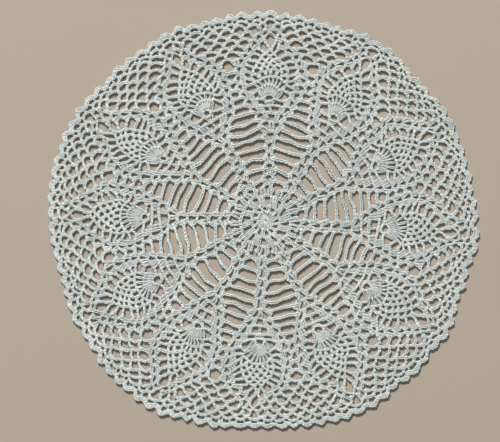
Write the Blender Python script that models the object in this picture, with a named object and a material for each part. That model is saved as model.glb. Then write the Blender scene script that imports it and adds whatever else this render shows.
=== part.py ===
"""Round lace doily crocheted in cotton thread, lying flat: one continuous piece of fabric.

Twelve spokes of shells run out from the ring in the middle. Each spoke splits in two
round a pineapple, and the split shells of neighbouring spokes meet and part again
round a fan of net. Chain ladders fill the sectors between the spokes near the middle.
The rim is a round of small scallops.

Units are metres, with +Z up. The origin is the middle of the starting ring, on the
underside. An opening is placed by its distance from the origin and its angle from the
spoke of its repeat, as in a doily pulled perfectly round. settle() then moves it to
where the washed and pressed fabric really lies.
"""

import math

import bpy

MM = 0.001

# ---- driving dimensions ---------------------------------------------------------------

THICKNESS = 1.6 * MM            # height of the treble and double crochet stitches
RIM_REACH = 140.8 * MM          # origin to the middle of the scallops, pulled round
REPEATS = 12                    # spokes, pineapples and net fans
SCALLOPS_PER_REPEAT = 8
SCALLOP_RISE = 2.2 * MM         # from the dip between two scallops to the tip of one
SCALLOP_POINTS = 3              # outline points to a scallop
SECTOR = 360.0 / REPEATS
LADDER_SQUARE = 0.5             # corner exponent of a ladder gap: 1 is an ellipse
LOOP_SQUARE = 0.85              # corner exponent of the smaller openings

# How the fabric lies, one row to a repeat: the true angle of its spoke and of the net
# fan after it, anticlockwise from +X, how far the rim reaches on each, and how far the
# middle rounds near its spoke lean anticlockwise and swell outward.
LIE = (
    # spoke_deg, spoke_reach_mm, fan_deg, fan_reach_mm, lean_mm, swell_mm
    (27.0, 140.3, 42.0, 138.0, -0.7, 0.7),
    (57.0, 141.4, 72.0, 137.3, -0.2, 1.4),
    (88.0, 138.6, 103.0, 138.0, -0.3, 2.1),
    (118.0, 140.9, 134.0, 141.3, 0.5, 0.0),
    (149.0, 144.7, 163.0, 145.4, -0.1, -1.9),
    (177.0, 144.1, 192.0, 141.2, 1.7, -0.3),
    (207.0, 142.5, 223.0, 145.0, 1.6, 0.6),
    (237.0, 146.4, 251.0, 140.7, 0.6, 0.0),
    (266.0, 137.5, 281.0, 138.4, 1.4, 1.0),
    (296.0, 142.3, 311.0, 141.1, 0.3, -1.1),
    (327.0, 141.6, 341.0, 137.6, 0.4, -1.5),
    (356.0, 141.0, 372.0, 138.6, 0.7, -0.9),
)
TWIST_START, TWIST_GAIN = -1.3, 2.0     # degrees, at the origin and from there to the rim
CURL = -0.35                            # degrees, of the wave in the twist between the two

# Gaps of the chain ladder on the middle line between two spokes, from the centre out.
LADDER_GAPS = (
    # radius_mm, breadth_mm, depth_mm, corners
    (23.2, 5.0, 3.4, 6),
    (29.9, 8.8, 3.9, 8),
    (36.8, 12.6, 3.9, 8),
    (43.4, 16.4, 3.8, 8),
    (50.5, 20.2, 3.9, 8),
    (56.3, 21.0, 2.8, 8),
    (61.8, 19.8, 3.1, 8),
    (67.9, 14.8, 3.0, 8),
    (73.8, 9.2, 3.0, 8),
    (79.7, 4.6, 3.0, 6),
)

# Single openings on a spoke or on the middle line of a net fan. A flare above 0 is
# wider away from the centre, and one below 0 is wider towards it.
AXIS_OPENINGS = (
    # radius_mm, offset_deg, breadth_mm, depth_mm, flare, corners
    (80.5, 0.0, 4.0, 4.8, 0.15, 6),      # foot of the pineapple's fan of trebles
    (106.3, 15.0, 6.4, 6.8, -0.10, 8),   # where the shells of two spokes part
    (116.8, 15.0, 5.6, 4.3, -0.20, 6),   # net fan, third round
    (122.0, 0.0, 5.0, 7.0, 0.20, 6),     # tip of the pineapple
    (131.6, 0.0, 4.6, 4.4, 0.30, 6),     # between the last shells of the spoke
)

# Openings in mirrored pairs, one each side of the spoke.
PAIRED_OPENINGS = (
    # radius_mm, offset_deg, breadth_mm, depth_mm, flare, corners
    (82.9, 5.9, 6.4, 4.9, -0.30, 6),     # beside the foot of the fan of trebles
    (112.3, 12.7, 5.6, 4.6, -0.20, 6),   # net fan, second round
    (116.8, 10.4, 5.8, 4.3, -0.20, 6),   # net fan, third round
    (121.4, 8.4, 5.9, 4.2, -0.20, 6),    # net fan, fourth round
    (125.6, 6.8, 5.9, 4.2, -0.20, 6),    # net fan, fifth round
)

# ---- how the fabric lies --------------------------------------------------------------


def eased(table, nominal):
    """Value of a periodic table of (nominal angle, value) rows, joined by easy curves."""
    for (a0, v0), (a1, v1) in zip(table, table[1:]):
        if a0 <= nominal <= a1:
            share = (nominal - a0) / (a1 - a0)
            share = share * share * (3.0 - 2.0 * share)
            return v0 + (v1 - v0) * share
    return table[-1][1]


def lie_tables():
    """Turn, rim reach, lean and swell against the nominal angle, over one turn and a bit."""
    turns, reaches, leans, swells = [], [], [], []
    for index, (spoke, spoke_reach, fan, fan_reach, lean, swell) in enumerate(LIE):
        start = index * SECTOR
        turns += [(start, spoke), (start + SECTOR / 2.0, fan)]
        reaches += [(start, spoke_reach * MM), (start + SECTOR / 2.0, fan_reach * MM)]
        leans.append((start, lean * MM))
        swells.append((start, swell * MM))
    turns.append((360.0, LIE[0][0] + 360.0))
    for table in (reaches, leans, swells):
        table.append((360.0, table[0][1]))
    return turns, reaches, leans, swells


TURNS, REACHES, LEANS, SWELLS = lie_tables()


def true_angle(nominal):
    """True angle, in degrees, of a nominal angle from 0 to 360: straight between rows."""
    for (a0, t0), (a1, t1) in zip(TURNS, TURNS[1:]):
        if a0 <= nominal <= a1:
            return t0 + (t1 - t0) * (nominal - a0) / (a1 - a0)
    return TURNS[-1][1]


def settle(radius, nominal):
    """Point (x, y) where a place of the perfectly round doily lies."""
    nominal %= 360.0
    share = radius / RIM_REACH
    bulge = math.sin(math.pi * share) ** 2
    stretch = eased(REACHES, nominal) / RIM_REACH - 1.0
    lying = radius * (1.0 + stretch * share) + eased(SWELLS, nominal) * bulge
    twist = TWIST_START + TWIST_GAIN * share + CURL * math.sin(2.0 * math.pi * share)
    angle = math.radians(true_angle(nominal) + twist)
    angle += eased(LEANS, nominal) * bulge / radius
    return lying * math.cos(angle), lying * math.sin(angle)


# ---- outline and openings -------------------------------------------------------------


def scalloped_rim():
    """Points of the outer edge: one arch to a scallop, a scallop centred on each spoke."""
    points = []
    scallops = REPEATS * SCALLOPS_PER_REPEAT
    for index in range(scallops * SCALLOP_POINTS):
        phase = (index % SCALLOP_POINTS) / SCALLOP_POINTS
        rise = SCALLOP_RISE * (math.sin(math.pi * phase) - 0.5)
        nominal = (index / SCALLOP_POINTS - 0.5) * 360.0 / scallops
        points.append(settle(RIM_REACH + rise, nominal))
    return points


def signed_power(value, exponent):
    return math.copysign(abs(value) ** exponent, value)


def opening(radius, nominal, breadth, depth, flare, square, corners):
    """Points round one opening between the stitches."""
    points = []
    for corner in range(corners):
        turn = 2.0 * math.pi * (corner + 0.5) / corners
        out = signed_power(math.sin(turn), square)
        side = signed_power(math.cos(turn), square) * (1.0 + flare * out)
        place = radius + out * depth / 2.0
        swing = math.degrees(side * breadth / 2.0 / radius)
        points.append(settle(place, nominal + swing))
    return points


def all_openings():
    """Point loops of every opening of the twelve repeats."""
    loops = []
    for repeat in range(REPEATS):
        spoke = repeat * SECTOR
        fan = spoke + SECTOR / 2.0
        for radius, breadth, depth, corners in LADDER_GAPS:
            loops.append(
                opening(radius * MM, fan, breadth * MM, depth * MM, 0.0, LADDER_SQUARE, corners)
            )
        placed = [(row, 1.0) for row in AXIS_OPENINGS + PAIRED_OPENINGS]
        placed += [(row, -1.0) for row in PAIRED_OPENINGS]
        for (radius, offset, breadth, depth, flare, corners), side in placed:
            nominal = spoke + side * offset
            loops.append(
                opening(
                    radius * MM, nominal, breadth * MM, depth * MM, flare, LOOP_SQUARE, corners
                )
            )
    return loops


def add_loop(curve, points):
    spline = curve.splines.new("POLY")
    spline.points.add(len(points) - 1)
    for place, (x, y) in zip(spline.points, points):
        place.co = (x, y, 0.0, 1.0)
    spline.use_cyclic_u = True


# ---- build ----------------------------------------------------------------------------


def cotton():
    """Undyed mercerised cotton thread, pale grey with a hint of green."""
    material = bpy.data.materials.new("cotton_thread")
    material.use_nodes = True
    shader = material.node_tree.nodes["Principled BSDF"]
    shader.inputs["Base Color"].default_value = (0.53, 0.56, 0.52, 1.0)
    shader.inputs["Roughness"].default_value = 0.8
    return material


def main():
    for item in list(bpy.data.objects):
        bpy.data.objects.remove(item, do_unlink=True)

    collection = bpy.data.collections.new("lace_doily")
    bpy.context.scene.collection.children.link(collection)

    curve = bpy.data.curves.new("doily", "CURVE")
    curve.dimensions = "2D"
    curve.fill_mode = "BOTH"
    curve.extrude = THICKNESS / 2.0
    add_loop(curve, scalloped_rim())
    for points in all_openings():
        add_loop(curve, points)

    doily = bpy.data.objects.new("doily", curve)
    doily.location.z = THICKNESS / 2.0
    doily.data.materials.append(cotton())
    collection.objects.link(doily)


main()
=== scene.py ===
"""Dresses the lace doily: every stitch of the 25 rounds is made as looped cotton thread.

One repeat of 30 degrees is written down as short tables of where its rounds lie, and
is worked twelve times round. Sizes are in millimetres until a mesh is made, and the
stage is in metres. Places are in the frame of a spoke: u across it, positive
anticlockwise, and v out along it, or else a radius and an angle from the spoke.
The width of a stitch is a share of the usual width.
"""

import math

import bpy
import numpy as np
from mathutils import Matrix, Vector


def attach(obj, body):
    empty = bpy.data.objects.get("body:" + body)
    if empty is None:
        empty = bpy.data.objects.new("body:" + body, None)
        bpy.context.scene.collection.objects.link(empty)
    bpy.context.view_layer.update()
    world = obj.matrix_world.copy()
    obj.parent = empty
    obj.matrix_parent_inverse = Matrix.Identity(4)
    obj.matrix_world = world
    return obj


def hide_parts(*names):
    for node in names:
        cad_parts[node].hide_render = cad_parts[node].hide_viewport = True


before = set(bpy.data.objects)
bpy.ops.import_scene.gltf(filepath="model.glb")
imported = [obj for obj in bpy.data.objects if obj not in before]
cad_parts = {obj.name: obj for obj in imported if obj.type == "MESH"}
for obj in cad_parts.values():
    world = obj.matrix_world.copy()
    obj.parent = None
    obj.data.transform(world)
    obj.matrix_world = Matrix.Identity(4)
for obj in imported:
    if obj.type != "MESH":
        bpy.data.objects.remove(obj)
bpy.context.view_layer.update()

MM = 0.001
SEED = 12
RNG = np.random.default_rng(SEED)

# ---- the thread and its stitches ------------------------------------------------------

REPEATS = 12
SECTOR = 360.0 / REPEATS
MID_HEIGHT = 0.80               # middle of the thread above the table
TABLE_CLEARANCE = 0.02          # the pressed underside of the thread above the table

CHAIN_PITCH = 2.0               # length of one chain stitch
NET_PITCH = 2.2                 # in the net
LADDER_PITCH = 2.2              # in a ladder
FAN_PITCH = 2.1                 # in the arcs round a fan of trebles
CHAIN_HALF = 0.58               # from the middle of a chain to the middle of one leg
CHAIN_THREAD = 0.58             # radius of a leg of a chain stitch
CHAIN_SIDES = 5

POST_THREAD = 0.45              # radius of a strand of a post
POST_COIL = 0.42                # from the middle of a post to the middle of a strand
POST_BREADTH = 2.0 * (POST_COIL + POST_THREAD)
POST_SIDES = 5
POST_OVERLAP = 0.08             # share of its length that a strand passes each end by
STRAND_POINTS = 5
STRAND_STARTS = (-0.14, 0.36)   # where round a post its two strands start, in turns
STRAND_TURNS = 0.28             # and how far round it they go, from end to end
COIL_FLATNESS = 0.85            # height of that coil over its breadth
WRAP_THREAD = 0.30              # radius of the yarn-over that crosses a post
WRAP_SIDES = 4

# One chain stitch: a teardrop loop. Its tail dives under the head of the one before.
LINK = np.array((
    # along, across, height
    (-0.35, 0.00, -0.16),
    (0.10, 0.48, 0.22),
    (0.60, 1.10, 0.20),
    (1.08, 0.50, -0.16),
    (1.08, -0.50, -0.16),
    (0.60, -1.10, 0.20),
    (0.10, -0.48, 0.22),
))

# The yarn-over that crosses a post.
WRAP = np.array((
    # across, along, height
    (-0.66, 0.36, -0.10),
    (-0.32, 0.44, 0.34),
    (0.32, 0.56, 0.36),
    (0.66, 0.64, -0.10),
))

# Spread of the small random shifts of each stitch, sideways and in height.
CHAIN_SHIFT, CHAIN_LIFT = 0.07, 0.05
POST_SHIFT, POST_LIFT = 0.04, 0.02
THREAD_SPREAD = 0.04            # and of the thread's thickness, as a share

# ---- how the fabric lies --------------------------------------------------------------

RIM_REACH = 140.8               # origin to the middle of the scallops, pulled round

# One row to a repeat: the true angle of its spoke and of the net fan after it,
# anticlockwise from +X, how far the rim reaches on each, and how far the middle rounds
# near its spoke lean anticlockwise and swell outward.
LIE = (
    # spoke_deg, spoke_reach, fan_deg, fan_reach, lean, swell
    (27.0, 140.3, 42.0, 138.0, -0.7, 0.7),
    (57.0, 141.4, 72.0, 137.3, -0.2, 1.4),
    (88.0, 138.6, 103.0, 138.0, -0.3, 2.1),
    (118.0, 140.9, 134.0, 141.3, 0.5, 0.0),
    (149.0, 144.7, 163.0, 145.4, -0.1, -1.9),
    (177.0, 144.1, 192.0, 141.2, 1.7, -0.3),
    (207.0, 142.5, 223.0, 145.0, 1.6, 0.6),
    (237.0, 146.4, 251.0, 140.7, 0.6, 0.0),
    (266.0, 137.5, 281.0, 138.4, 1.4, 1.0),
    (296.0, 142.3, 311.0, 141.1, 0.3, -1.1),
    (327.0, 141.6, 341.0, 137.6, 0.4, -1.5),
    (356.0, 141.0, 372.0, 138.6, 0.7, -0.9),
)
TWIST_START, TWIST_GAIN = -1.3, 2.0     # degrees, at the origin and from there to the rim
CURL = -0.35                            # degrees, of the wave in the twist between the two

# The uneven pull of hand work: a few waves of each length, in random directions.
PULLS = (
    # wave_length, size
    (31.0, 0.42),
    (17.0, 0.38),
    (9.5, 0.28),
)
PULLS_OF_A_LENGTH = 3

# ---- rounds 1 to 3: the centre --------------------------------------------------------

CENTRE_POSTS = (
    # base_radius, base_deg, top_radius, top_deg, width, flare, wrapped
    (0.7, -15.5, 5.8, -1.5, 1.10, 0.9, False),
    (0.7, -0.5, 5.8, 13.5, 1.10, 0.9, False),
    (5.4, -10.1, 10.0, -4.1, 0.95, 0.3, False),
    (5.4, 15.1, 10.0, 21.1, 0.95, 0.3, False),
    (10.2, -13.65, 16.4, -11.7, 1.05, 0.2, True),
    (10.2, 1.65, 16.4, 8.7, 1.05, 0.2, True),
    (10.2, 9.0, 16.2, 13.5, 1.05, 0.2, True),
)
CENTRE_RINGS = (
    # radius, pitch, width, height
    (5.6, 1.6, 0.7, -0.30),
    (9.9, 1.8, 1.1, -0.15),
    (16.8, 2.0, 1.2, -0.15),
)
CENTRE_RING_POINTS = 4

# ---- rounds 4 to 23: the shells of the spokes -----------------------------------------

# Shells of doubles, two chains and doubles. The place is the hole in the middle, and the
# reaches are from there to the shell's edge, towards the spoke's own axis and away from it.
SHELLS = (
    # round, radius, offset_deg, near_reach, far_reach
    (4, 21.2, 0.0, 4.5, 4.5),
    (5, 27.4, 0.0, 5.0, 5.0),
    (6, 34.4, 0.0, 4.6, 4.6),
    (7, 41.5, 0.0, 4.3, 4.3),
    (8, 48.1, 0.0, 4.1, 4.1),
    (9, 55.4, 0.0, 4.1, 4.1),
    (11, 67.6, 5.86, 4.6, 4.0),
    (12, 73.4, 8.38, 6.0, 4.2),
    (13, 78.8, 10.07, 6.1, 4.5),
    (14, 84.7, 11.39, 5.2, 4.1),
    (15, 90.6, 12.07, 5.0, 3.8),
    (16, 96.3, 12.18, 5.6, 3.9),
    (17, 101.9, 11.84, 5.5, 4.0),
    (18, 107.3, 10.59, 4.9, 4.4),
    (19, 111.4, 8.93, 4.8, 4.2),
    (20, 115.3, 6.65, 4.7, 3.6),
    (21, 119.5, 4.48, 4.6, 3.8),
    (22, 123.3, 3.12, 4.9, 3.6),
    (23, 129.7, 2.23, 3.3, 3.5),
)
LAST_INNER_ROUND, LAST_MIDDLE_ROUND = 13, 18    # in the first two of the spokes' pieces
SPLIT_ROUND = 10                # where a spoke becomes two

# Where the round after these is worked. After the others it is halfway to the next hole,
# and after the last shell it is this far from its hole.
SHELL_TOPS = {3: (0.0, 17.0), 9: (0.0, 58.7), SPLIT_ROUND: (4.2, 64.7)}
LAST_SHELL_TOP = (-0.8, 3.2)

HOLE_HALF = 1.00                # half the breadth of the hole in a shell of a spoke
SPLIT_HOLE_HALF = 1.18          # and past the split
SHELL_PITCH = 1.6               # breadth of one double in a shell
DOUBLE_FILL = 1.1               # breadth of a double over its room in the shell
TIP_SPREAD = 0.45               # how far the tip of a double leans out of its room
TIP_RISE, TIP_FALL = 1.4, 1.1   # of the first tip past the hole, and from each to the next
SIDE_INSET = 0.7                # from the edge of a shell in to where a chain joins it
SIDE_LIFT = -0.5                # and from its hole outward

# Where the doubles of a shell start: how far beside the middle of the last shell the
# first one is, how far beside it the next, and how far each is below that shell's top.
SHELL_ROOTS = (
    # up_to_round, first, step, drops
    (4, 0.8, 2.2, (0.0, 0.0, 0.0)),
    (7, 0.7, 1.85, (0.0, 1.0, 2.0)),
    (9, 0.95, 1.35, (0.0, 0.8, 1.6)),
    (23, 0.7, 1.4, (0.0, 0.6, 1.8)),
)

# The chain over a shell: how far its shoulders are beside the hole and past it, and how
# far its ends are below it.
CROWN_SHOULDER = (2.8, 1.6)
SPLIT_CROWN_SHOULDER = (2.4, 1.5)
CROWN_DROP = 0.9
CROWN_HEIGHT = -0.12

# Round 10: the doubles of one half of a spoke and the chain over them.
SPLIT_DOUBLES = (
    # base_u, base_v, tip_u, tip_v
    (0.5, 58.3, 1.15, 63.2),
    (1.6, 58.0, 6.0, 62.3),
    (2.8, 57.4, 7.5, 60.5),
)
SPLIT_CROWN = ((1.2, 64.2), (3.7, 64.9), (6.1, 63.5), (8.1, 60.4))

# ---- rounds 5 to 17: the ladders ------------------------------------------------------

# Chains of the ladder between two spokes, one to a round from round 5 outward, and how
# far their middles bow outward.
RUNGS = (
    # radius_in_the_middle, half_length, bow
    (26.6, 4.2, 1.2),
    (33.4, 6.0, 0.7),
    (40.1, 8.0, 0.2),
    (47.0, 9.9, 0.0),
    (53.9, 11.2, 0.9),
    (58.9, 11.1, -0.8),
    (64.9, 9.6, 0.3),
    (70.8, 7.0, 0.3),
    (76.7, 4.6, 0.2),
    (82.9, 3.2, 0.0),
    (89.3, 2.6, 0.0),
    (95.3, 2.6, 0.0),
    (101.5, 3.2, 0.2),
)
RUNG_SHARES = (-1.0, -0.5, 0.0, 0.5, 1.0)
RUNG_WIDTH = 1.25

# ---- rounds 11 to 15: the fan of trebles ----------------------------------------------

FAN_FOOT = 82.3                 # v of the place that the fan and the pineapple go round
TREBLES = 8
TREBLE_STEP = 15.0              # degrees
TREBLE_WIDTH = 0.98
TREBLE_ROOT = 3.0               # radius of the arc that the trebles start on
TREBLE_ROOT_DROP = 1.5          # middle of that arc, nearer the centre than the foot
TREBLE_ROOT_SPREAD = 1.25       # angle of a treble on that arc over its angle at the foot
INNER_TOP, INNER_FLARE = 7.4, 0.45
OUTER_BASE, OUTER_TOP, OUTER_FLARE = 7.2, 12.6, 0.1
FAN_REACH = 56.0                # degrees, from the middle of the fan to the end of its arcs
FAN_ARC_POINTS = 9
FAN_ARCS = (
    # radius, width, height
    (7.7, 0.5, -0.35),
    (13.1, 0.9, 0.0),
)

# Between the two halves of a spoke, below the fan.
SAG_V = 69.7                    # middle of the chain of round 11
STEM = ((0.0, 70.0), (0.0, 75.0))
STEM_WIDTH = 1.05
FOOT_CHAINS = (
    # round, start_u, start_v, middle_u, middle_v
    (12, 0.3, 75.0, 3.6, 75.0),
    (13, 3.0, 79.8, 6.6, 79.4),
)
FOOT_RING = ((0.0, 77.7), (1.9, 78.5), (2.7, 80.4), (1.9, 82.4), (0.0, 83.2))
FOOT_RING_WIDTH = 0.55
FOOT_POSTS = (
    # base_u, base_v, top_u, top_v, width, flare, wrapped
    (-0.3, 74.4, 3.7, 80.4, 1.20, -0.2, True),
    (3.3, 79.8, 7.6, 86.4, 1.05, 0.0, False),
)

# ---- rounds 16 to 21: the pineapple ---------------------------------------------------

# Loops on arcs round the foot of the fan of trebles.
PINEAPPLE = (
    # round, loops, pitch_deg, anchor_radius, top_radius
    (16, 6, 14.5, 13.9, 17.6),
    (17, 5, 14.0, 17.6, 20.7),
    (18, 4, 13.3, 20.7, 23.6),
    (19, 3, 12.3, 23.6, 26.2),
    (20, 2, 11.6, 26.2, 29.0),
    (21, 1, 10.4, 29.0, 32.0),
)
PINEAPPLE_START = 0.4                   # start of a loop, past its anchor
PINEAPPLE_SHOULDER = (0.5, 0.33)        # below the top, and beside it as a share of the loop
PINEAPPLE_WIDTH = 0.85
PINEAPPLE_KNOT = (-0.9, 1.0)            # ends of a knot, from the anchor
PINEAPPLE_KNOT_WIDTH = 0.9

# Slack chains from the ends of the fan's and the pineapple's rounds to the shells beside.
SIDE_CHAINS = (
    # round, middle_u, middle_v
    (14, 10.2, 85.0),
    (15, 12.5, 89.2),
    (16, 12.8, 93.1),
    (17, 12.7, 97.4),
    (18, 12.75, 101.9),
    (19, 11.4, 106.2),
    (20, 8.6, 110.3),
    (21, 5.1, 114.2),
)
FAN_ENDS = {14: (9.3, 56.0), 15: (13.8, 55.0)}  # radius and degrees where a round ends
ROW_END_DROP = 0.2              # end of a round of the pineapple, below its anchor
SIDE_CHAIN_LIFT = -1.2
SLACK_WIDTH = 0.9

# From the pineapple's tip out to the last shells, and the posts that cross there.
TIP_CHAIN = ((1.0, 114.8), (1.1, 117.2), (3.1, 120.2), (3.5, 122.4), (2.6, 124.6))
TIP_CROSS = ((-2.7, 124.4), (2.0, 129.3))
TIP_CROSS_WIDTH = 1.1

# ---- rounds 18 to 24: the net ---------------------------------------------------------

# The net fan between two pineapples: one row to a round, from round 18 outward.
NET = (
    # loops, radius_of_the_holes, pitch_deg, rise
    (1, 106.2, 4.9, 4.4),
    (2, 112.3, 4.6, 3.1),
    (3, 116.8, 4.6, 2.9),
    (4, 121.3, 4.4, 2.8),
    (5, 125.5, 4.1, 2.7),
    (6, 129.4, 3.85, 2.6),
    (7, 132.8, 3.6, 2.1),
)
NET_START = -0.6                # start of a loop, from the radius of the holes
NET_SHOULDER = (0.8, 0.31)      # below the top, and beside it as a share of the loop
NET_KNOT = (-2.1, 0.4)          # ends of a knot, from the radius of the holes
NET_KNOT_WIDTH = 1.1
SPOKE_END_LOOP = ((-4.4, 132.2), (-2.9, 134.4), (0.0, 135.3), (2.9, 134.4), (4.4, 132.2))

# ---- round 25: the scallops -----------------------------------------------------------

SCALLOP_TURNS = (-11.4, -7.8, -4.1, 0.0, 4.1, 7.8, 11.4, 15.0)     # degrees, of their middles
SCALLOP_POSTS = (134.2, 137.4)          # radius of the base and of the top of a post
SCALLOP_POST_HALVES = (2.1, 2.8)        # how far both are beside the middle of the scallop,
SCALLOP_MIDDLE = 134.0                  # measured at this radius
SCALLOP_LEAN = 1.2                      # pull of the middle of a scallop on its shoulders
SCALLOP_ARCS = (
    # radius_of_the_dips, radius_of_the_tip, pitch
    (136.6, 138.9, 2.2),
    (137.5, 140.6, 2.1),
)

# ---- laying the fabric ----------------------------------------------------------------


def eased(values, turn_share):
    """Values one to a step round the doily, joined by easy curves."""
    values = np.array(values)
    whole = np.floor(turn_share).astype(int)
    share = turn_share - whole
    share = share * share * (3.0 - 2.0 * share)
    before, after = values[whole % len(values)], values[(whole + 1) % len(values)]
    return before * (1.0 - share) + after * share


def settle(points):
    """Where points of the perfectly round doily lie: x and y are moved, z is kept."""
    spoke_turns, spoke_reaches, fan_turns, fan_reaches, leans, swells = zip(*LIE)
    turns = np.append(np.ravel(list(zip(spoke_turns, fan_turns))), spoke_turns[0] + 360.0)
    reaches = np.ravel(list(zip(spoke_reaches, fan_reaches)))
    steps = np.arange(2 * REPEATS + 1) * SECTOR / 2.0

    radius = np.hypot(points[..., 0], points[..., 1])
    nominal = np.degrees(np.arctan2(points[..., 1], points[..., 0])) % 360.0
    share = radius / RIM_REACH
    bulge = np.sin(math.pi * np.minimum(share, 1.0)) ** 2
    stretch = eased(reaches, nominal / (SECTOR / 2.0)) / RIM_REACH - 1.0
    lying = radius * (1.0 + stretch * share) + eased(swells, nominal / SECTOR) * bulge
    twist = TWIST_START + TWIST_GAIN * share + CURL * np.sin(2.0 * math.pi * share)
    angle = np.radians(np.interp(nominal, steps, turns) + twist)
    angle += eased(leans, nominal / SECTOR) * bulge / np.maximum(radius, 1.0)
    moved = points.copy()
    moved[..., 0] = lying * np.cos(angle)
    moved[..., 1] = lying * np.sin(angle)
    return moved


def drift(points):
    """The uneven pull of hand work. Its waves are the same for every piece."""
    rng = np.random.default_rng(SEED)
    moved = points.copy()
    x, y = points[..., 0], points[..., 1]
    for wave_length, size in PULLS:
        for _ in range(PULLS_OF_A_LENGTH):
            turn, phase, push = rng.uniform(0.0, 2.0 * math.pi, 3)
            way = (x * math.cos(turn) + y * math.sin(turn)) * 2.0 * math.pi / wave_length
            swing = size * np.sin(way + phase)
            moved[..., 0] += swing * math.cos(push)
            moved[..., 1] += swing * math.sin(push)
    return moved


# ---- working one repeat ---------------------------------------------------------------

chains = {}                     # zone: list of (path, links, width, height)
posts = {}                      # zone: list of (base, top, width, flare, wrapped)


def polar(radius, degrees):
    angle = math.radians(degrees)
    return np.array((radius * math.sin(angle), radius * math.cos(angle)))


def round_foot(radius, degrees):
    """A place by its radius and angle round the foot of the fan of trebles."""
    return polar(radius, degrees) + np.array((0.0, FAN_FOOT))


def mirrored(places):
    return [np.array((-u, v)) for u, v in places]


def add_chain(zone, path, pitch=CHAIN_PITCH, width=1.0, height=0.0):
    path = [np.asarray(place, float) for place in path]
    length = sum(np.linalg.norm(b - a) for a, b in zip(path, path[1:]))
    links = max(1, round(length / pitch))
    chains.setdefault(zone, []).append((path, links, width, height))


def add_post(zone, base, top, width=1.0, flare=0.0, wrapped=True):
    """A stitch from base to top. With a flare it is wider at the top than at the base."""
    base, top = np.asarray(base, float), np.asarray(top, float)
    posts.setdefault(zone, []).append((base, top, width, flare, wrapped))


def chain_both_sides(zone, path, **options):
    add_chain(zone, path, **options)
    add_chain(zone, mirrored(path), **options)


def post_both_sides(zone, base, top, *options):
    add_post(zone, base, top, *options)
    add_post(zone, *mirrored((base, top)), *options)


def knots_of(loops, pitch, middle=0.0):
    """The angles where some loops in a row begin and end."""
    return [middle + (index - loops / 2.0) * pitch for index in range(loops + 1)]


def loop_path(place, low, high, left, right, shoulder):
    """A loop from left to right. place gives a place by its radius and angle."""
    drop, share = shoulder
    middle, beside = (left + right) / 2.0, (right - left) * share
    return [
        place(low, left),
        place(high - drop, middle - beside),
        place(high, middle),
        place(high - drop, middle + beside),
        place(low, right),
    ]


HOLES = {number: polar(radius, offset) for number, radius, offset, _, _ in SHELLS}
REACHES = {number: (near, far) for number, _, _, near, far in SHELLS}


def shell_top(number):
    """The middle of the two chains of a shell, where the next round is worked."""
    if number in SHELL_TOPS:
        return np.array(SHELL_TOPS[number])
    if number + 1 not in HOLES:
        return HOLES[number] + np.array(LAST_SHELL_TOP)
    return (HOLES[number] + HOLES[number + 1]) / 2.0


def shell_axes(number):
    """Where a shell starts, and its directions outward and across."""
    foot, top = shell_top(number - 1), shell_top(number)
    out = (top - foot) / np.linalg.norm(top - foot)
    return foot, out, np.array((out[1], -out[0]))


def near_side(number, lift=SIDE_LIFT):
    """Where a chain joins the side of a shell that is nearer the spoke's own axis."""
    _, out, across = shell_axes(number)
    near, _ = REACHES[number]
    return HOLES[number] - across * (near - SIDE_INSET) + out * lift


def shell_root(number, index):
    """How far beside the middle of the last shell, and below its top, a double starts."""
    _, first, step, drops = next(row for row in SHELL_ROOTS if number <= row[0])
    return first + step * index, drops[index]


def spoke_zone(number):
    if number <= LAST_INNER_ROUND:
        return "spokes_inner"
    return "spokes_middle" if number <= LAST_MIDDLE_ROUND else "spokes_outer"


def add_shell(number):
    foot, out, across = shell_axes(number)
    hole, zone = HOLES[number], spoke_zone(number)
    if number > SPLIT_ROUND:
        work_post, work_chain = post_both_sides, chain_both_sides
        hole_half, (shoulder, rise) = SPLIT_HOLE_HALF, SPLIT_CROWN_SHOULDER
    else:
        work_post, work_chain = add_post, add_chain
        hole_half, (shoulder, rise) = HOLE_HALF, CROWN_SHOULDER
    for side, reach in zip((-1.0, 1.0), REACHES[number]):
        count = round((reach - hole_half) / SHELL_PITCH)
        room = (reach - hole_half) / count
        for index in range(count):
            root, drop = shell_root(number, index)
            base = foot + across * side * root - out * drop
            offset = hole_half + (index + 0.5) * room + TIP_SPREAD
            tip = hole + across * side * offset + out * (TIP_RISE - TIP_FALL * index)
            work_post(zone, base, tip, DOUBLE_FILL * room / POST_BREADTH)
    near, far = REACHES[number]
    crown = [
        hole - across * near - out * CROWN_DROP,
        hole - across * shoulder + out * rise,
        shell_top(number),
        hole + across * shoulder + out * rise,
        hole + across * far - out * CROWN_DROP,
    ]
    work_chain(zone, crown, height=CROWN_HEIGHT)


def add_centre():
    zone = "centre"
    for base, base_deg, top, top_deg, width, flare, wrapped in CENTRE_POSTS:
        add_post(zone, polar(base, base_deg), polar(top, top_deg), width, flare, wrapped)
    turns = np.linspace(-SECTOR / 2.0, SECTOR / 2.0, CENTRE_RING_POINTS)
    for radius, pitch, width, height in CENTRE_RINGS:
        arc = [polar(radius, turn) for turn in turns]
        add_chain(zone, arc, pitch=pitch, width=width, height=height)


def add_split():
    """Round 10, where a spoke becomes two: three pairs of doubles."""
    zone = spoke_zone(SPLIT_ROUND)
    for base_u, base_v, tip_u, tip_v in SPLIT_DOUBLES:
        post_both_sides(zone, (base_u, base_v), (tip_u, tip_v))
    crown = mirrored(reversed(SPLIT_CROWN)) + list(SPLIT_CROWN)
    add_chain(zone, crown, height=CROWN_HEIGHT)


def add_ladder():
    """Chains across the middle line between two spokes."""
    turn = math.radians(SECTOR / 2.0)
    for radius, half, bow in RUNGS:
        path = []
        for share in RUNG_SHARES:
            across, out = half * share, radius - bow * share * share
            u = across * math.cos(turn) + out * math.sin(turn)
            v = out * math.cos(turn) - across * math.sin(turn)
            path.append((u, v))
        add_chain("ladders", path, pitch=LADDER_PITCH, width=RUNG_WIDTH)


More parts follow.
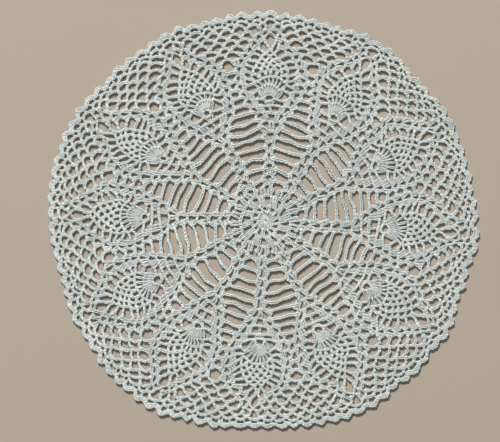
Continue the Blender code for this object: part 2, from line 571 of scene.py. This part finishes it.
def add_foot():
    """Rounds 11 to 13 between the two halves of a spoke, below the pineapple."""
    zone = "fans"
    side = near_side(11)
    add_chain(zone, mirrored([side]) + [(0.0, SAG_V), side])
    add_post(zone, *STEM, STEM_WIDTH)
    for number, start_u, start_v, middle_u, middle_v in FOOT_CHAINS:
        path = [(start_u, start_v), (middle_u, middle_v), near_side(number)]
        chain_both_sides(zone, path, width=SLACK_WIDTH)
    chain_both_sides(zone, FOOT_RING, width=FOOT_RING_WIDTH)
    for base_u, base_v, top_u, top_v, width, flare, wrapped in FOOT_POSTS:
        post_both_sides(zone, (base_u, base_v), (top_u, top_v), width, flare, wrapped)


def add_fan():
    """The trebles of round 14 and the trebles with a chain between of round 15."""
    zone = "fans"
    root_middle = np.array((0.0, FAN_FOOT - TREBLE_ROOT_DROP))
    for index in range(TREBLES):
        turn = (index - (TREBLES - 1) / 2.0) * TREBLE_STEP
        root = polar(TREBLE_ROOT, turn * TREBLE_ROOT_SPREAD) + root_middle
        inner_top = round_foot(INNER_TOP, turn)
        outer_base, outer_top = round_foot(OUTER_BASE, turn), round_foot(OUTER_TOP, turn)
        add_post(zone, root, inner_top, TREBLE_WIDTH, INNER_FLARE, wrapped=False)
        add_post(zone, outer_base, outer_top, TREBLE_WIDTH, OUTER_FLARE, wrapped=False)
    for radius, width, height in FAN_ARCS:
        turns = np.linspace(-FAN_REACH, FAN_REACH, FAN_ARC_POINTS)
        arc = [round_foot(radius, turn) for turn in turns]
        add_chain(zone, arc, pitch=FAN_PITCH, width=width, height=height)


def add_pineapple():
    zone = "pineapples"
    below, above = PINEAPPLE_KNOT
    ends = dict(FAN_ENDS)
    for number, loops, pitch, anchor, top in PINEAPPLE:
        knots = knots_of(loops, pitch)
        low = anchor + PINEAPPLE_START
        for left, right in zip(knots, knots[1:]):
            path = loop_path(round_foot, low, top, left, right, PINEAPPLE_SHOULDER)
            add_chain(zone, path, width=PINEAPPLE_WIDTH)
        for knot in knots:
            base, tip = round_foot(anchor + below, knot), round_foot(anchor + above, knot)
            add_post(zone, base, tip, PINEAPPLE_KNOT_WIDTH)
        ends[number] = (anchor - ROW_END_DROP, knots[-1])
    for number, u, v in SIDE_CHAINS:
        path = [round_foot(*ends[number]), (u, v), near_side(number, SIDE_CHAIN_LIFT)]
        chain_both_sides(zone, path, width=SLACK_WIDTH)
    chain_both_sides(zone, TIP_CHAIN, width=SLACK_WIDTH)
    post_both_sides(zone, *TIP_CROSS, TIP_CROSS_WIDTH)


def add_net():
    zone = "net"
    below, above = NET_KNOT
    for loops, radius, pitch, rise in NET:
        knots = knots_of(loops, pitch, SECTOR / 2.0)
        low, high = radius + NET_START, radius + rise
        for left, right in zip(knots, knots[1:]):
            path = loop_path(polar, low, high, left, right, NET_SHOULDER)
            add_chain(zone, path, pitch=NET_PITCH)
        for knot in knots[1:-1]:
            base, tip = polar(radius + below, knot), polar(radius + above, knot)
            add_post(zone, base, tip, NET_KNOT_WIDTH)
    add_chain(zone, SPOKE_END_LOOP)


def scallop_path(low, high, left, turn, right):
    """The arc of one scallop, from the dip on its left to the one on its right."""
    shoulder = (low + 2 * high) / 3.0
    left_turn = (left + turn * SCALLOP_LEAN) / (1.0 + SCALLOP_LEAN)
    right_turn = (right + turn * SCALLOP_LEAN) / (1.0 + SCALLOP_LEAN)
    return [
        polar(low, left),
        polar(shoulder, left_turn),
        polar(high, turn),
        polar(shoulder, right_turn),
        polar(low, right),
    ]


def add_edging():
    zone = "edging"
    (base, top), (base_half, top_half) = SCALLOP_POSTS, SCALLOP_POST_HALVES
    for turn in SCALLOP_TURNS:
        for side in (-1.0, 1.0):
            swing = math.degrees(side / SCALLOP_MIDDLE)
            foot = polar(base, turn + base_half * swing)
            add_post(zone, foot, polar(top, turn + top_half * swing))
    dips = [(a + b) / 2.0 for a, b in zip(SCALLOP_TURNS, SCALLOP_TURNS[1:])]
    before = dips[0] - (SCALLOP_TURNS[1] - SCALLOP_TURNS[0])
    after = dips[-1] + (SCALLOP_TURNS[-1] - SCALLOP_TURNS[-2])
    dips = [before] + dips + [after]
    for turn, left, right in zip(SCALLOP_TURNS, dips, dips[1:]):
        for low, high, pitch in SCALLOP_ARCS:
            add_chain(zone, scallop_path(low, high, left, turn, right), pitch=pitch)


add_centre()
for number, *_ in SHELLS:
    add_shell(number)
add_split()
add_ladder()
add_foot()
add_fan()
add_pineapple()
add_net()
add_edging()

# ---- stitches as centre lines of thread -----------------------------------------------

CURVE_STEPS = 12                # points of a smooth curve to a stretch of its path
LOOK = 0.3                      # how far to both sides the direction of a curve is read


def curve_through(path):
    """A smooth curve through the places of a path, and the distance along it."""
    knots = np.array([path[0] * 2 - path[1]] + list(path) + [path[-1] * 2 - path[-2]])
    fine = []
    for index in range(1, len(knots) - 2):
        a, b, c, d = knots[index - 1:index + 3]
        bend, hook = 2 * a - 5 * b + 4 * c - d, 3 * b - a - 3 * c + d
        for t in np.linspace(0.0, 1.0, CURVE_STEPS, endpoint=False):
            fine.append(0.5 * (2 * b + (c - a) * t + bend * t * t + hook * t ** 3))
    fine.append(knots[-2])
    fine = np.array(fine)
    steps = np.linalg.norm(np.diff(fine, axis=0), axis=1)
    return fine, np.concatenate(([0.0], np.cumsum(steps)))


def along(fine, reach, distance):
    """Places and directions at distances along a curve, also a little past its ends."""

    def place_at(run):
        return np.stack([np.interp(run, reach, line) for line in fine.T], axis=-1)

    inside = np.clip(distance, 0.0, reach[-1])
    before = np.clip(inside - LOOK, 0.0, reach[-1])
    after = np.clip(inside + LOOK, 0.0, reach[-1])
    step = place_at(after) - place_at(before)
    step /= np.linalg.norm(step, axis=-1, keepdims=True)
    return place_at(inside) + step * (distance - inside)[..., None], step


def link_lines(zone):
    """Centre lines of the chain stitches of one repeat: (stitches, points, 3)."""
    lines = []
    for path, links, width, height in chains[zone]:
        fine, reach = curve_through(path)
        pitch = reach[-1] / links
        starts = np.arange(links)[:, None] * pitch
        place, step = along(fine, reach, starts + LINK[None, :, 0] * pitch)
        across = np.stack([step[..., 1], -step[..., 0]], axis=-1)
        flat = place + across * (LINK[None, :, 1] * CHAIN_HALF * width)[..., None]
        lift = np.broadcast_to(MID_HEIGHT + height + LINK[None, :, 2], flat.shape[:2])
        lines.append(np.concatenate([flat, lift[..., None]], axis=-1))
    return np.concatenate(lines)


def strand(start):
    """One of the strands that coil round a post, as (across, along, height)."""
    share = np.linspace(0.0, 1.0, STRAND_POINTS)
    angle = 2.0 * math.pi * (start + STRAND_TURNS * share)
    side = POST_COIL * np.cos(angle)
    run = -POST_OVERLAP + (1.0 + 2.0 * POST_OVERLAP) * share
    height = COIL_FLATNESS * POST_COIL * np.sin(angle)
    return np.stack([side, run, height], axis=-1)


POST_STRANDS = (
    # template, radius, sides, only_on_wrapped_posts
    (strand(STRAND_STARTS[0]), POST_THREAD, POST_SIDES, False),
    (strand(STRAND_STARTS[1]), POST_THREAD, POST_SIDES, False),
    (WRAP, WRAP_THREAD, WRAP_SIDES, True),
)


def post_lines(zone, template, only_wrapped):
    """Centre lines of one strand of the posts of a repeat: (posts, points, 3)."""
    side, run, height = template[:, 0:1], template[:, 1:2], template[:, 2:3]
    lines = []
    for base, top, width, flare, wrapped in posts[zone]:
        if only_wrapped and not wrapped:
            continue
        length = np.linalg.norm(top - base)
        step = (top - base) / length
        across = np.array((step[1], -step[0]))
        wide = width * (1.0 + flare * (run - 0.5))
        flat = base + run * length * step + side * wide * across
        lines.append(np.concatenate([flat, MID_HEIGHT + height], axis=-1))
    return np.array(lines)


def work_round(lines):
    """The lines of one repeat worked twelve times round, then laid as the fabric lies."""
    worked = []
    u, v = lines[..., 0], lines[..., 1]
    for repeat in range(REPEATS):
        turn = math.radians(repeat * SECTOR)
        x = v * math.cos(turn) - u * math.sin(turn)
        y = v * math.sin(turn) + u * math.cos(turn)
        worked.append(np.stack([x, y, lines[..., 2]], axis=-1))
    return drift(settle(np.concatenate(worked)))


def jittered(lines, shift, lift):
    """Each line moved a little by itself."""
    count = len(lines)
    moved = lines.copy()
    moved[..., :2] += RNG.normal(0.0, shift, (count, 1, 2))
    moved[..., 2] += RNG.normal(0.0, lift, (count, 1))
    return moved


# ---- thread as tubes ------------------------------------------------------------------

BAKE_MARGIN = 0.04              # round a tube in its own square of the bake map, as a share
CAP_MAP_RADIUS = 0.012          # of an end cap, in the margin of that square
CAP_MAP_PLACES = (0.02, 0.97)   # and how far along it the start and the end cap are


def tube_skin(lines, radius, sides, closed):
    """Vertices of tubes round centre lines: one ring of them to a point of a line."""
    if closed:
        ahead, behind = np.roll(lines, -1, axis=1), np.roll(lines, 1, axis=1)
    else:
        ahead = np.concatenate([lines[:, 1:], lines[:, -1:]], axis=1)
        behind = np.concatenate([lines[:, :1], lines[:, :-1]], axis=1)
    tangent = ahead - behind
    tangent /= np.linalg.norm(tangent, axis=-1, keepdims=True)
    side = np.cross(tangent, (0.0, 0.0, 1.0))
    side /= np.linalg.norm(side, axis=-1, keepdims=True)
    up = np.cross(side, tangent)
    angle = (np.arange(sides) * 2.0 * math.pi / sides)[:, None]
    ring = side[:, :, None, :] * np.cos(angle) + up[:, :, None, :] * np.sin(angle)
    thick = radius * RNG.normal(1.0, THREAD_SPREAD, (len(lines), 1, 1, 1))
    vertices = (lines[:, :, None, :] + ring * thick).reshape(-1, 3)
    vertices[:, 2] = np.maximum(vertices[:, 2], TABLE_CLEARANCE)
    return vertices


def tube_faces(count, points, sides, closed):
    """Quads of the tubes, and the end caps of open ones: starts, then ends."""
    first = np.arange(count)[:, None, None] * points * sides
    row = np.arange(points if closed else points - 1)[None, :, None]
    around = np.arange(sides)[None, None, :]
    following, beside = (row + 1) % points, (around + 1) % sides
    a, b = first + row * sides + around, first + row * sides + beside
    c, d = first + following * sides + beside, first + following * sides + around
    quads = np.stack([a, b, c, d], axis=-1).reshape(-1, 4)
    if closed:
        return quads, np.zeros((0, sides), int)
    start = first[:, 0] + np.arange(sides)[::-1]
    end = first[:, 0] + (points - 1) * sides + np.arange(sides)
    return quads, np.concatenate([start, end])


def tube_map(lines, sides, closed):
    """Places of the quads' corners, round and along the tubes, and the tubes' lengths."""
    whole = np.concatenate([lines, lines[:, :1]], axis=1) if closed else lines
    steps = np.linalg.norm(np.diff(whole, axis=1), axis=-1)
    run = np.concatenate([np.zeros((len(lines), 1)), np.cumsum(steps, axis=1)], axis=1)
    shape = steps.shape + (sides,)
    u0 = np.broadcast_to(np.arange(sides) / sides, shape)
    u1 = u0 + 1.0 / sides
    v0 = np.broadcast_to(run[:, :-1, None], shape)
    v1 = np.broadcast_to(run[:, 1:, None], shape)
    places = np.stack([u0, v0, u1, v0, u1, v1, u0, v1], axis=-1)
    return places.reshape(-1, 4, 2), run[:, -1]


def bake_squares(tubes, grid):
    """The column and the row of each tube's own square of the bake map."""
    return np.stack([tubes % grid, tubes // grid], axis=-1)[:, None, :]


def bake_quads(places, lengths, first_tube, grid):
    owner = np.repeat(np.arange(len(lengths)), len(places) // len(lengths))
    inner = np.stack([places[..., 0], places[..., 1] / lengths[owner][:, None]], axis=-1)
    squares = bake_squares(owner + first_tube, grid)
    return (squares + BAKE_MARGIN + (1.0 - 2.0 * BAKE_MARGIN) * inner) / grid


def bake_caps(count, sides, first_tube, grid):
    owner = np.tile(np.arange(count), 2)
    beside = np.full(2 * count, CAP_MAP_PLACES[0])
    middle = np.stack([beside, np.repeat(CAP_MAP_PLACES, count)], axis=-1)
    angle = np.arange(sides) * 2.0 * math.pi / sides
    rounds = CAP_MAP_RADIUS * np.stack([np.cos(angle), np.sin(angle)], axis=-1)
    return (bake_squares(owner + first_tube, grid) + middle[:, None] + rounds) / grid


def joined_mesh(name, vertices, faces, sizes):
    """A smooth mesh from its faces' corners in a row, and how many each face has."""
    mesh = bpy.data.meshes.new(name)
    mesh.vertices.add(len(vertices))
    mesh.vertices.foreach_set("co", vertices.astype(np.float32).ravel())
    mesh.loops.add(len(faces))
    mesh.loops.foreach_set("vertex_index", faces.astype(np.int32))
    mesh.polygons.add(len(sizes))
    starts = np.concatenate(([0], np.cumsum(sizes)[:-1])).astype(np.int32)
    mesh.polygons.foreach_set("loop_start", starts)
    mesh.polygons.foreach_set("use_smooth", np.ones(len(sizes), bool))
    mesh.update(calc_edges=True)
    return mesh


def mesh_piece(name, strands):
    """One object from tubes of several kinds, each as (lines, skin, sides, closed)."""
    grid = math.ceil(math.sqrt(sum(len(lines) for lines, _, _, _ in strands)))
    faces, sizes, thread_uv, bake_uv, tints = [], [], [], [], []
    offset, first_tube = 0, 0
    for lines, skin, sides, closed in strands:
        count, points = lines.shape[:2]
        quads, caps = tube_faces(count, points, sides, closed)
        places, lengths = tube_map(lines, sides, closed)
        faces += [(quads + offset).ravel(), (caps + offset).ravel()]
        sizes += [np.full(len(quads), 4), np.full(len(caps), sides)]
        thread_uv += [places.reshape(-1, 2), np.zeros((caps.size, 2))]
        bake_uv.append(bake_quads(places, lengths, first_tube, grid).reshape(-1, 2))
        if not closed:
            bake_uv.append(bake_caps(count, sides, first_tube, grid).reshape(-1, 2))
        tints.append(np.repeat(RNG.uniform(0.0, 1.0, count), points * sides))
        offset += len(skin)
        first_tube += count
    vertices = np.concatenate([skin for _, skin, _, _ in strands]) * MM
    mesh = joined_mesh(name, vertices, np.concatenate(faces), np.concatenate(sizes))
    for label, values in (("thread", thread_uv), ("OFBake", bake_uv)):
        layer = mesh.uv_layers.new(name=label)
        layer.data.foreach_set("uv", np.concatenate(values).astype(np.float32).ravel())
    tint = mesh.attributes.new("tint", "FLOAT", "POINT")
    tint.data.foreach_set("value", np.concatenate(tints).astype(np.float32))
    mesh.validate()
    piece = bpy.data.objects.new(name, mesh)
    bpy.context.scene.collection.objects.link(piece)
    return piece


def thread_piece(zone):
    """The object of one zone: its chain stitches, and the strands of its posts."""
    strands = []

    def add_strand(lines, shift, lift, radius, sides, closed):
        lines = jittered(work_round(lines), shift, lift)
        strands.append((lines, tube_skin(lines, radius, sides, closed), sides, closed))

    add_strand(link_lines(zone), CHAIN_SHIFT, CHAIN_LIFT, CHAIN_THREAD, CHAIN_SIDES, True)
    if zone in posts:
        for template, radius, sides, only_wrapped in POST_STRANDS:
            lines = post_lines(zone, template, only_wrapped)
            add_strand(lines, POST_SHIFT, POST_LIFT, radius, sides, False)
    return mesh_piece(zone, strands)


pieces = {zone: thread_piece(zone) for zone in chains}

# ---- cotton thread --------------------------------------------------------------------

PLIES = 3.0
LAY = 1.1                               # turns of the plies to a millimetre of thread
TONES = (
    # position, colour
    (0.35, (0.59, 0.645, 0.625, 1.0)),
    (0.65, (0.665, 0.705, 0.68, 1.0)),
)
CLOUD_SCALE, CLOUD_DETAIL = 45.0, 3.0           # slow changes of tone across the doily
FIBRE_SCALE, FIBRE_DETAIL = 4200.0, 2.0         # and the fibres of the thread
FIBRE_RELIEF = 0.35                             # over the relief of the plies
BUMP_STRENGTH, BUMP_DISTANCE = 0.55, 0.07 * MM

# What the tone is multiplied by: a random tone by stitch, and painted shade in the grooves
# between plies and by the height above the table, darker low down, between and under the
# stitches.
STITCH_SHADES = (0.90, 1.07)
GROOVE_PAINTED_SHADE_RANGE, GROOVE_PAINTED_SHADES = (-1.0, 0.2), (0.86, 1.0)
HEIGHT_PAINTED_SHADE_RANGE, HEIGHT_PAINTED_SHADES = (0.35 * MM, 1.25 * MM), (0.45, 1.09)


def cotton():
    """Undyed cotton thread of three plies, pale grey with a hint of green."""
    material = bpy.data.materials.new("cotton_thread")
    material.use_nodes = True
    nodes, links = material.node_tree.nodes, material.node_tree.links
    shader = nodes["Principled BSDF"]
    shader.inputs["Roughness"].default_value = 0.78
    shader.inputs["Specular IOR Level"].default_value = 0.12
    shader.inputs["Sheen Weight"].default_value = 0.06
    shader.inputs["Sheen Roughness"].default_value = 0.5

    def node(kind, **settings):
        made = nodes.new(kind)
        for key, value in settings.items():
            setattr(made, key, value)
        return made

    def worked_out(operation, *values):
        """A math node's output. Its values are numbers, or outputs of other nodes."""
        made = node("ShaderNodeMath", operation=operation)
        for socket, value in zip(made.inputs, values):
            if isinstance(value, float):
                socket.default_value = value
            else:
                links.new(value, socket)
        return made.outputs[0]

    def mapped(value, source, target, interpolation="LINEAR"):
        made = node("ShaderNodeMapRange", interpolation_type=interpolation)
        links.new(value, made.inputs["Value"])
        made.inputs["From Min"].default_value, made.inputs["From Max"].default_value = source
        made.inputs["To Min"].default_value, made.inputs["To Max"].default_value = target
        return made.outputs[0]

    def separated(vector):
        made = node("ShaderNodeSeparateXYZ")
        links.new(vector, made.inputs[0])
        return made.outputs

    place = node("ShaderNodeTexCoord").outputs["Object"]

    def noise(scale, detail):
        made = node("ShaderNodeTexNoise")
        made.inputs["Scale"].default_value = scale
        made.inputs["Detail"].default_value = detail
        links.new(place, made.inputs["Vector"])
        return made.outputs["Fac"]

    thread = separated(node("ShaderNodeUVMap", uv_map="thread").outputs["UV"])
    across = worked_out("MULTIPLY", thread["X"], PLIES)
    turns = worked_out("MULTIPLY_ADD", thread["Y"], LAY, across)
    ply = worked_out("SINE", worked_out("MULTIPLY", turns, 2.0 * math.pi))

    tone = node("ShaderNodeValToRGB")
    for stop, (position, colour) in zip(tone.color_ramp.elements, TONES):
        stop.position = position
        stop.color = colour
    links.new(noise(CLOUD_SCALE, CLOUD_DETAIL), tone.inputs["Fac"])

    tint = node("ShaderNodeAttribute", attribute_name="tint").outputs["Fac"]
    by_stitch = mapped(tint, (0.0, 1.0), STITCH_SHADES)
    # Painted shade: the thread is darker in the grooves between its plies.
    painted_shade_in_grooves = mapped(ply, GROOVE_PAINTED_SHADE_RANGE, GROOVE_PAINTED_SHADES)
    # Painted shade: the lower the thread lies, between and under the stitches, the darker it
    # is.
    painted_shade_by_height = mapped(separated(place)["Z"], HEIGHT_PAINTED_SHADE_RANGE, HEIGHT_PAINTED_SHADES, "SMOOTHSTEP")
    tint_and_painted_shade = worked_out("MULTIPLY", by_stitch, painted_shade_by_height)
    shaded = node("ShaderNodeVectorMath", operation="SCALE")
    links.new(tone.outputs["Color"], shaded.inputs[0])
    links.new(worked_out("MULTIPLY", tint_and_painted_shade, painted_shade_in_grooves), shaded.inputs["Scale"])
    links.new(shaded.outputs[0], shader.inputs["Base Color"])

    fibre = noise(FIBRE_SCALE, FIBRE_DETAIL)
    bump = node("ShaderNodeBump")
    bump.inputs["Strength"].default_value = BUMP_STRENGTH
    bump.inputs["Distance"].default_value = BUMP_DISTANCE
    links.new(worked_out("MULTIPLY_ADD", fibre, FIBRE_RELIEF, ply), bump.inputs["Height"])
    links.new(bump.outputs[0], shader.inputs["Normal"])
    return material


yarn = cotton()
for piece in pieces.values():
    piece.data.materials.append(yarn)
    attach(piece, "root")
    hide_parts("doily")

# ---- floor, light and camera ----------------------------------------------------------

FLOOR_SIZE = 24.0
FLOOR_COLOUR = (0.45, 0.385, 0.315, 1.0)
FLOOR_ROUGHNESS = 0.9
LIGHTS = (
    # name, place, size, power, colour
    ("key", (-2.3, 7.3, 4.6), 1.2, 1180.0, (1.0, 0.985, 0.965)),
    ("fill", (2.6, -7.0, 5.5), 4.0, 70.0, (0.96, 0.985, 1.0)),
)
WORLD_STRENGTH = 0.18
PICTURE_WIDTH = 0.332           # what the picture's width spans on the table
CAMERA_PLACE = (-0.0104, 0.0001, 0.9)
SENSOR_WIDTH = 36.0


def add_floor():
    bpy.ops.mesh.primitive_plane_add(size=FLOOR_SIZE, location=(0.0, 0.0, 0.0))
    floor = bpy.context.object
    floor.name = "floor"
    material = bpy.data.materials.new("pale_floor")
    material.use_nodes = True
    shader = material.node_tree.nodes["Principled BSDF"]
    shader.inputs["Base Color"].default_value = FLOOR_COLOUR
    shader.inputs["Roughness"].default_value = FLOOR_ROUGHNESS
    floor.data.materials.append(material)


def add_light(name, place, size, power, colour):
    """A square lamp that faces the origin."""
    data = bpy.data.lights.new(name, "AREA")
    data.size, data.energy, data.color = size, power, colour
    light = bpy.data.objects.new(name, data)
    light.location = place
    light.rotation_euler = (-Vector(place)).to_track_quat("-Z", "Y").to_euler()
    bpy.context.scene.collection.objects.link(light)


def add_world():
    world = bpy.data.worlds.new("studio")
    world.use_nodes = True
    background = world.node_tree.nodes["Background"]
    background.inputs["Color"].default_value = (1.0, 1.0, 1.0, 1.0)
    background.inputs["Strength"].default_value = WORLD_STRENGTH
    bpy.context.scene.world = world


def add_camera():
    """A camera that looks straight down."""
    data = bpy.data.cameras.new("camera")
    data.sensor_width = SENSOR_WIDTH
    data.lens = SENSOR_WIDTH * CAMERA_PLACE[2] / PICTURE_WIDTH
    camera = bpy.data.objects.new("camera", data)
    camera.location = CAMERA_PLACE
    bpy.context.scene.collection.objects.link(camera)
    bpy.context.scene.camera = camera


add_floor()
for light_row in LIGHTS:
    add_light(*light_row)
add_world()
add_camera()
bpy.context.scene.view_settings.view_transform = "Standard"
